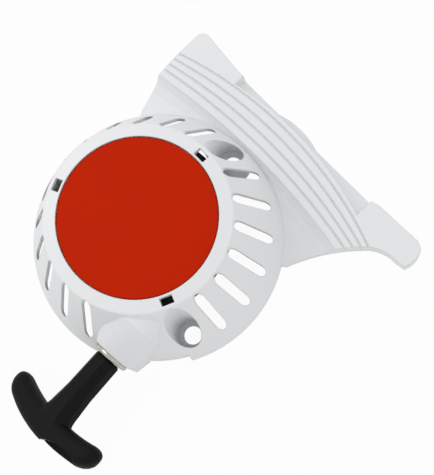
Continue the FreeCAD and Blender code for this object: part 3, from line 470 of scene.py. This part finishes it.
# Millimetres from the bar's crown, and how much wider the stem is there
STEM_FLARE = ((30, 1.04), (18, 1.22), (14, 1.36), (10, 1.6), (7, 1.75))
STEM_RISE = 1.04
SKIN_CELL = 0.55 * MM
CUT_ABOVE = 6 * MM
POCKET_STEPS = 24
POCKET_SHARE = 0.76
POCKET_DEPTH = 9.0 * MM
POCKET_HALF_HEIGHT = 3.9 * MM
LIP_STEPS = 16
LIP_FROM, LIP_SPAN = 0.08, 0.74
LIP_REACH, LIP_LEAST = 4.6 * MM, 0.05 * MM
LIP_HEIGHT = 9 * MM
BORE_RADIUS = 2.3 * MM
BORE_START, BORE_PAST = 5 * MM, 2 * MM


def grip_matrix(twist):
    """From the grip's own frame (x along the bar, -y along the rope) to the row frame."""
    swing = math.atan2(ROPE_WAY.x, -ROPE_WAY.y)
    turned = Matrix.Rotation(swing, 4, "Z") @ Matrix.Rotation(-twist, 4, "Y")
    base = ROPE_POINT - ROPE_WAY * ROPE_POINT.dot(ROPE_WAY)
    return Matrix.Translation(base) @ turned


def superellipse(half_wide, half_tall, power, count=48):
    """Points round a rounded rectangle."""
    points = []
    for index in range(count):
        angle = math.tau * index / count
        across, up = math.cos(angle), math.sin(angle)
        points.append((math.copysign(abs(across) ** (2 / power), across) * half_wide,
                       math.copysign(abs(up) ** (2 / power), up) * half_tall))
    return points


def build_grip_body(sizes, outer_y, stem_y):
    """Bar and stem as overlapping skins, outer_y at the bar's crown."""
    half_length = sizes.bar_half_length
    bar_sections = []
    for index in range(BAR_STEPS + 1):
        along = -1 + 2 * index / BAR_STEPS
        share = abs(along)
        rounding = max(0.0, (share - BAR_ROUND_FROM) / BAR_ROUND_SPAN)
        taper = math.sqrt(max(0.0, 1 - rounding ** 2))
        taper = max(taper, 0.05)
        full_deep = (BAR_HALF_DEPTH - BAR_DEPTH_LOSS * share ** 1.5) * MM
        half_deep = full_deep * taper
        half_tall = (BAR_HALF_HEIGHT - BAR_HEIGHT_LOSS * share) * MM * taper
        crown = outer_y + sizes.bar_bow * share ** 2
        centre = crown + full_deep
        bar_sections.append([
            (along * half_length, centre + deep, tall)
            for deep, tall in superellipse(half_deep, half_tall, 2.5)])
    stem_sections = []
    wide, deep, cut = sizes.stem_half_width, sizes.stem_half_depth, sizes.stem_facet
    outline = [(wide, deep - cut), (wide - cut, deep), (cut - wide, deep),
               (-wide, deep - cut), (-wide, cut - deep), (cut - wide, -deep),
               (wide - cut, -deep), (wide, cut - deep)]
    rows = [(stem_y, STEM_END_SHARE), (stem_y - STEM_END_CHAMFER, 1.0)]
    rows += [(outer_y + away * MM, grow) for away, grow in STEM_FLARE]
    for y, grow in rows:
        rise = min(grow, STEM_RISE)
        stem_sections.append([(x * grow, y, z * rise) for x, z in outline])
    return loft(bar_sections), loft(stem_sections)


def build_grip(sizes, material):
    """The T-handle as one soft-edged moulding, with its pocket and rope bore."""
    to_row = grip_matrix(sizes.grip_twist)
    to_grip = to_row.inverted()
    corners = [to_grip @ vertex.co for vertex in frame["nodes"]["handle_grip"].data.vertices]
    outer_y = min(corner.y for corner in corners)
    stem_y = max(corner.y for corner in corners)
    (bar_points, bar_faces), (stem_points, stem_faces) = build_grip_body(
        sizes, outer_y, stem_y)
    shift = len(bar_points)
    faces = bar_faces + [tuple(index + shift for index in face) for face in stem_faces]
    body = mesh_object("grip_rough", bar_points + stem_points, faces, material)
    remesh = body.modifiers.new("skin", "REMESH")
    remesh.mode = "VOXEL"
    remesh.voxel_size = SKIN_CELL
    soften = body.modifiers.new("soften", "SMOOTH")
    soften.factor = 0.5
    soften.iterations = 6

    pocket_half = sizes.bar_half_length * POCKET_SHARE
    sections = []
    for index in range(POCKET_STEPS + 1):
        along = -1 + 2 * index / POCKET_STEPS
        taper = max(0.15, math.sqrt(max(0.0, 1 - abs(along) ** 4)))
        crown = outer_y + sizes.bar_bow * (abs(along) * POCKET_SHARE) ** 2
        floor = crown + POCKET_DEPTH * taper
        ring = []
        for deep, tall in superellipse(1.0, POCKET_HALF_HEIGHT * taper, 3.0, 32):
            reach = (floor - crown + CUT_ABOVE) * (deep + 1) / 2
            ring.append((along * pocket_half, crown - CUT_ABOVE + reach, tall))
        sections.append(ring)
    pocket = mesh_object("grip_pocket", *loft(sections), None)
    lip_sections = []
    for index in range(LIP_STEPS + 1):
        share = index / LIP_STEPS
        along = LIP_FROM + LIP_SPAN * share
        crown = outer_y + sizes.bar_bow * along ** 2
        reach = LIP_REACH * math.sin(math.pi * share) ** 0.6 + LIP_LEAST
        lip_sections.append([
            (along * sizes.bar_half_length, crown + away, up)
            for away, up in ((-CUT_ABOVE, 0), (reach, 0),
                             (reach, LIP_HEIGHT), (-CUT_ABOVE, LIP_HEIGHT))])
    lip = mesh_object("grip_lip", *loft(lip_sections), None)
    bore_sections = [
        [(across, y, up) for across, up in superellipse(BORE_RADIUS, BORE_RADIUS, 2.0, 24)]
        for y in (outer_y + BORE_START, stem_y + BORE_PAST)]
    bore = mesh_object("grip_bore", *loft(bore_sections), None)
    for tool in (pocket, lip, bore):
        cut = body.modifiers.new(tool.name, "BOOLEAN")
        cut.operation = "DIFFERENCE"
        cut.object = tool
        cut.solver = "EXACT"
    grip = evaluated(body, "grip_moulding", material)
    for tool in (pocket, lip, bore):
        bpy.data.objects.remove(tool)
    grip.data.transform(to_row)
    return grip


# ---------------------------------------------------------------- rope
# Length of rope that one repeat of the braid takes, in rope radii
BRAID_REPEAT = 3.2
TURN_STEPS = 72
# Last part of the inner layer's final turn, where the rope steps out to the outer layer
STEP_OUT = 0.25
TURN_SLACK = 0.98
STRETCH_STEPS = 60


def rope_tube(name, points, radius, material, around=20):
    """A round rope through points, with a UV map that runs along it."""
    points = [Vector(point) for point in points]
    vertices, coordinates = [], []
    length = 0.0
    previous_side = Vector((0, 0, 1))
    for index, point in enumerate(points):
        before = points[max(index - 1, 0)]
        after = points[min(index + 1, len(points) - 1)]
        way = (after - before).normalized()
        side = (previous_side - way * previous_side.dot(way)).normalized()
        other = way.cross(side)
        previous_side = side
        if index:
            length += (point - points[index - 1]).length
        for step in range(around):
            angle = math.tau * step / around
            vertices.append(point + (side * math.cos(angle) + other * math.sin(angle)) * radius)
        coordinates.append(length / (radius * BRAID_REPEAT))
    faces, corner_uv = [], []
    for row in range(len(points) - 1):
        for step in range(around):
            after = (step + 1) % around
            faces.append((row * around + step, row * around + after,
                          (row + 1) * around + after, (row + 1) * around + step))
            corner_uv.append([(step / around, coordinates[row]),
                              ((step + 1) / around, coordinates[row]),
                              ((step + 1) / around, coordinates[row + 1]),
                              (step / around, coordinates[row + 1])])
    faces.append(tuple(range(around))[::-1])
    corner_uv.append([(0.0, 0.0)] * around)
    last = (len(points) - 1) * around
    faces.append(tuple(last + step for step in range(around)))
    corner_uv.append([(0.0, 0.0)] * around)
    mesh = bpy.data.meshes.new(name)
    mesh.from_pydata([tuple(point) for point in vertices], [], faces)
    layer = mesh.uv_layers.new(name="along")
    layer.data.foreach_set("uv", [value for face in corner_uv for pair in face for value in pair])
    mesh.polygons.foreach_set("use_smooth", [True] * len(mesh.polygons))
    work = bmesh.new()
    work.from_mesh(mesh)
    bmesh.ops.recalc_face_normals(work, faces=work.faces)
    work.to_mesh(mesh)
    work.free()
    mesh.materials.append(material)
    made = bpy.data.objects.new(name, mesh)
    bpy.context.scene.collection.objects.link(made)
    return made


# ---------------------------------------------------------------- operators
def settings():
    scene = bpy.context.scene
    return scene.starter_colours, scene.starter_sizes, scene.starter_stage


class STARTER_OT_shell(bpy.types.Operator):
    """Finish the grey-white housing"""

    bl_idname = "starter.shell"
    bl_label = "Housing"

    def execute(self, context):
        colours, sizes, _ = settings()
        dress("housing", plastic(
            "shell_plastic", colours.shell, 0.42, sizes.edge_round, grain=0.35, wave=0.5,
            vary=0.02, wear=0.35, lift=1.05))
        return {"FINISHED"}


class STARTER_OT_cover(bpy.types.Operator):
    """Finish the red front cover"""

    bl_idname = "starter.cover"
    bl_label = "Front cover"

    def execute(self, context):
        colours, _, _ = settings()
        dress("front_cover", plastic(
            "cover_plastic", colours.cover, 0.55, 0.0003, grain_size=0.0006, grain=0.8,
            depth=0.00005, vary=0.12, wear=0.1, lift=1.1, specular=0.04))
        return {"FINISHED"}


class STARTER_OT_grip(bpy.types.Operator):
    """Mould the black T-handle"""

    bl_idname = "starter.grip"
    bl_label = "T-handle"

    def execute(self, context):
        colours, sizes, _ = settings()
        material = plastic(
            "grip_plastic", colours.grip, 0.52, 0.0004, grain_size=0.0005, grain=1.0,
            depth=0.00006, vary=0.25, wear=0.3, lift=1.4, specular=0.12)
        grip = build_grip(sizes, material)
        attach(grip, "handle")
        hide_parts("handle_grip")
        return {"FINISHED"}


class STARTER_OT_rope(bpy.types.Operator):
    """Lay the rope: turns on the drum, the straight lead and its knots"""

    bl_idname = "starter.rope"
    bl_label = "Rope"

    def execute(self, context):
        colours, sizes, _ = settings()
        material = braided_rope("rope_braid", colours.rope, sizes.rope_radius)
        radius = sizes.rope_radius
        outer = COIL_HIGH.x - radius
        inner = outer - 2 * radius
        swing = math.atan2(ROPE_WAY.x, -ROPE_WAY.y)
        middle = (COIL_LOW.z + COIL_HIGH.z) / 2
        pitch = (COIL_HIGH.z - COIL_LOW.z - 2 * radius) / (sizes.coil_turns - 1)
        points = []
        for layer, reach in ((0, inner), (1, outer)):
            for index in range(sizes.coil_turns * TURN_STEPS):
                share = index / TURN_STEPS
                climb = share - (sizes.coil_turns - 1) / 2 - 0.5
                climb = max(-(sizes.coil_turns - 1) / 2, min((sizes.coil_turns - 1) / 2, climb))
                height = middle + climb * pitch * (1 if layer == 0 else -1)
                angle = swing - math.tau * share
                grown = reach
                if layer == 0 and share > sizes.coil_turns - STEP_OUT:
                    moved = (share - sizes.coil_turns + STEP_OUT) / STEP_OUT
                    grown += moved * (outer - inner)
                points.append((math.cos(angle) * grown, math.sin(angle) * grown, height))
        coil = rope_tube("rope_turns", points, radius * TURN_SLACK, material, around=12)
        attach(coil, "drum")
        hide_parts("rope_coil")

        base = ROPE_POINT - ROPE_WAY * ROPE_POINT.dot(ROPE_WAY)
        far = max(ROPE_WAY.dot(corner.co) for corner in frame["nodes"]["rope_lead"].data.vertices)
        near = min(ROPE_WAY.dot(corner.co) for corner in frame["nodes"]["rope_lead"].data.vertices)
        line = [base + ROPE_WAY * (near + (far - near) * index / STRETCH_STEPS)
                for index in range(STRETCH_STEPS + 1)]
        lead = rope_tube("rope_stretch", line, radius, material)
        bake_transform(lead)
        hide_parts("rope_lead")
        knot_material = plastic(
            "rope_knot", colours.rope, 0.85, 0.0003, grain_size=0.0009, grain=1.0,
            depth=0.0003, vary=0.4)
        dress("handle_knot", knot_material)
        dress("drum_knot", knot_material)
        return {"FINISHED"}


class STARTER_OT_drum(bpy.types.Operator):
    """Finish the drum, the spring and its case, and paint the spring cover in the case's black as
    painted shade under the housing's windows
    """

    bl_idname = "starter.drum"
    bl_label = "Drum and spring"

    def execute(self, context):
        colours, _, _ = settings()
        nylon = plastic("drum_nylon", colours.drum, 0.5, 0.0004, grain=0.7, vary=0.2,
                        wear=0.4, lift=1.8)
        dress("rope_drum", nylon)
        case = plastic("case_nylon", CASE_AND_SHADE_COLOUR, 0.48, 0.0004,
                       grain=0.6, vary=0.2, wear=0.4, lift=1.6)
        dress("spring_case", case)
        # The spring cover takes the case's black as painted shade: a dark plate that makes the
        # housing's windows read as shadow
        dress("spring_cover", case)
        spring = metal("spring_strip", SPRING_COLOUR, 0.32,
                       streak=(60.0, 60.0, 3000.0))
        dress("rewind_spring", spring)
        dress("friction_spring", spring)
        return {"FINISHED"}


class STARTER_OT_metal(bpy.types.Operator):
    """Finish the eyelet, pawls, plates, pins and screws"""

    bl_idname = "starter.metal"
    bl_label = "Metal pieces"

    def execute(self, context):
        colours, _, _ = settings()
        dress("rope_ferrule", metal("nickel_plate", colours.nickel, 0.20, edge=0.0003,
                                    scratch=0.15, streak=(300.0, 300.0, 300.0)))
        zinc = metal("zinc_plate", colours.zinc, 0.34)
        for node in ("case_screws", "pawl_pins", "pawl_guide",
                     "guide_bush", "centre_washer", "centre_screw", "rope_washer"):
            dress(node, zinc)
        hardened = metal("pawl_steel", PAWL_COLOUR, 0.38, scratch=0.6,
                         streak=(900.0, 900.0, 200.0))
        for node in ("pawl_a", "pawl_b"):
            dress(node, hardened)
        return {"FINISHED"}


class STARTER_OT_stage(bpy.types.Operator):
    """Set the floor, the lights and the camera"""

    bl_idname = "starter.stage"
    bl_label = "Stage"

    def execute(self, context):
        _, _, stage = settings()
        scene = context.scene
        scene.view_settings.view_transform = "Standard"
        build_floor()
        build_lights()
        back = Vector((
            math.cos(stage.elevation) * math.cos(stage.heading),
            math.cos(stage.elevation) * math.sin(stage.heading),
            math.sin(stage.elevation)))
        upright = Vector((math.cos(stage.up_heading), math.sin(stage.up_heading), 0))
        side = upright.cross(back).normalized()
        up = back.cross(side)
        data = bpy.data.cameras.new("camera")
        data.lens = stage.lens
        data.sensor_width = 36.0
        data.clip_start = 0.01
        camera = bpy.data.objects.new("camera", data)
        turned = Matrix((side, up, back)).transposed().to_4x4()
        camera.matrix_world = Matrix.Translation(
            Vector(stage.target) + back * stage.distance) @ turned
        scene.collection.objects.link(camera)
        scene.camera = camera
        return {"FINISHED"}


FLOOR_GAP = 0.4 * MM
FLOOR_HALF_WIDTH = 3.0
# Share of the floor that is its own glow, and what the camera sees on top of that
FLOOR_GLOW, FLOOR_CAMERA_GLOW = 0.27, 0.68
SKY_STRENGTH = 0.76
KEY_SIZE, KEY_POWER = 0.5, 1.6
FILL_SIZE, FILL_POWER = 0.6, 0.3


def build_floor():
    """A pale floor that reads as even white from the camera."""
    low = CAD_BOX[0].z - FLOOR_GAP
    reach = FLOOR_HALF_WIDTH
    floor = mesh_object("floor", [(-reach, -reach, low), (reach, -reach, low),
                                  (reach, reach, low), (-reach, reach, low)],
                        [(0, 1, 2, 3)], None, smooth=False)
    material, tree, shader = start_material("floor_white")
    shader.inputs["Base Color"].default_value = (0.82, 0.82, 0.82, 1.0)
    shader.inputs["Roughness"].default_value = 0.9
    glow = tree.add("ShaderNodeEmission", {"Color": (1.0, 1.0, 1.0, 1.0), "Strength": 1.0})
    ray = tree.add("ShaderNodeLightPath")
    seen = tree.math("MULTIPLY", ray.outputs["Is Camera Ray"], FLOOR_CAMERA_GLOW)
    share = tree.math("ADD", seen, FLOOR_GLOW)
    mixed = tree.add("ShaderNodeMixShader", {
        0: share, 1: shader.outputs["BSDF"], 2: glow.outputs["Emission"]})
    output = material.node_tree.nodes["Material Output"]
    material.node_tree.links.new(mixed.outputs["Shader"], output.inputs["Surface"])
    floor.data.materials.append(material)


def area_light(name, place, look_at, size, power):
    data = bpy.data.lights.new(name, "AREA")
    data.shape = "DISK"
    data.size = size
    data.energy = power
    lamp = bpy.data.objects.new(name, data)
    lamp.location = place
    lamp.rotation_mode = "QUATERNION"
    lamp.rotation_quaternion = (Vector(look_at) - Vector(place)).to_track_quat("-Z", "Y")
    bpy.context.scene.collection.objects.link(lamp)
    return lamp


def build_lights():
    """Soft sky all round, a broad key and a weaker fill."""
    world = bpy.data.worlds.new("studio")
    world.use_nodes = True
    world.node_tree.nodes["Background"].inputs["Color"].default_value = (1.0, 1.0, 1.0, 1.0)
    world.node_tree.nodes["Background"].inputs["Strength"].default_value = SKY_STRENGTH
    bpy.context.scene.world = world
    area_light("key", (-0.55, -0.15, 0.75), (0, 0, 0.03), KEY_SIZE, KEY_POWER)
    area_light("fill", (0.5, 0.6, 0.7), (0.02, 0.02, 0.02), FILL_SIZE, FILL_POWER)


class STARTER_PT_panel(bpy.types.Panel):
    """Buttons and settings of the starter"""

    bl_idname = "STARTER_PT_panel"
    bl_label = "Recoil starter"
    bl_space_type = "VIEW_3D"
    bl_region_type = "UI"
    bl_category = "Starter"

    def draw(self, context):
        for operator in OPERATORS:
            self.layout.operator(operator.bl_idname)
        for group in settings():
            for name in group.bl_rna.properties.keys():
                if name not in {"rna_type", "name"}:
                    self.layout.prop(group, name)


GROUP_CLASSES = (StarterColours, StarterSizes, StarterStage)
OPERATORS = (
    STARTER_OT_shell,
    STARTER_OT_cover,
    STARTER_OT_grip,
    STARTER_OT_rope,
    STARTER_OT_drum,
    STARTER_OT_metal,
    STARTER_OT_stage,
)


def register():
    for item in GROUP_CLASSES + OPERATORS + (STARTER_PT_panel,):
        bpy.utils.register_class(item)
    bpy.types.Scene.starter_colours = PointerProperty(type=StarterColours)
    bpy.types.Scene.starter_sizes = PointerProperty(type=StarterSizes)
    bpy.types.Scene.starter_stage = PointerProperty(type=StarterStage)


def unregister():
    del bpy.types.Scene.starter_stage
    del bpy.types.Scene.starter_sizes
    del bpy.types.Scene.starter_colours
    for item in reversed(GROUP_CLASSES + OPERATORS + (STARTER_PT_panel,)):
        bpy.utils.unregister_class(item)


def main():
    register()
    for operator in OPERATORS:
        area, _, action = operator.bl_idname.partition(".")
        getattr(getattr(bpy.ops, area), action)()


if __name__ == "__main__":
    main()
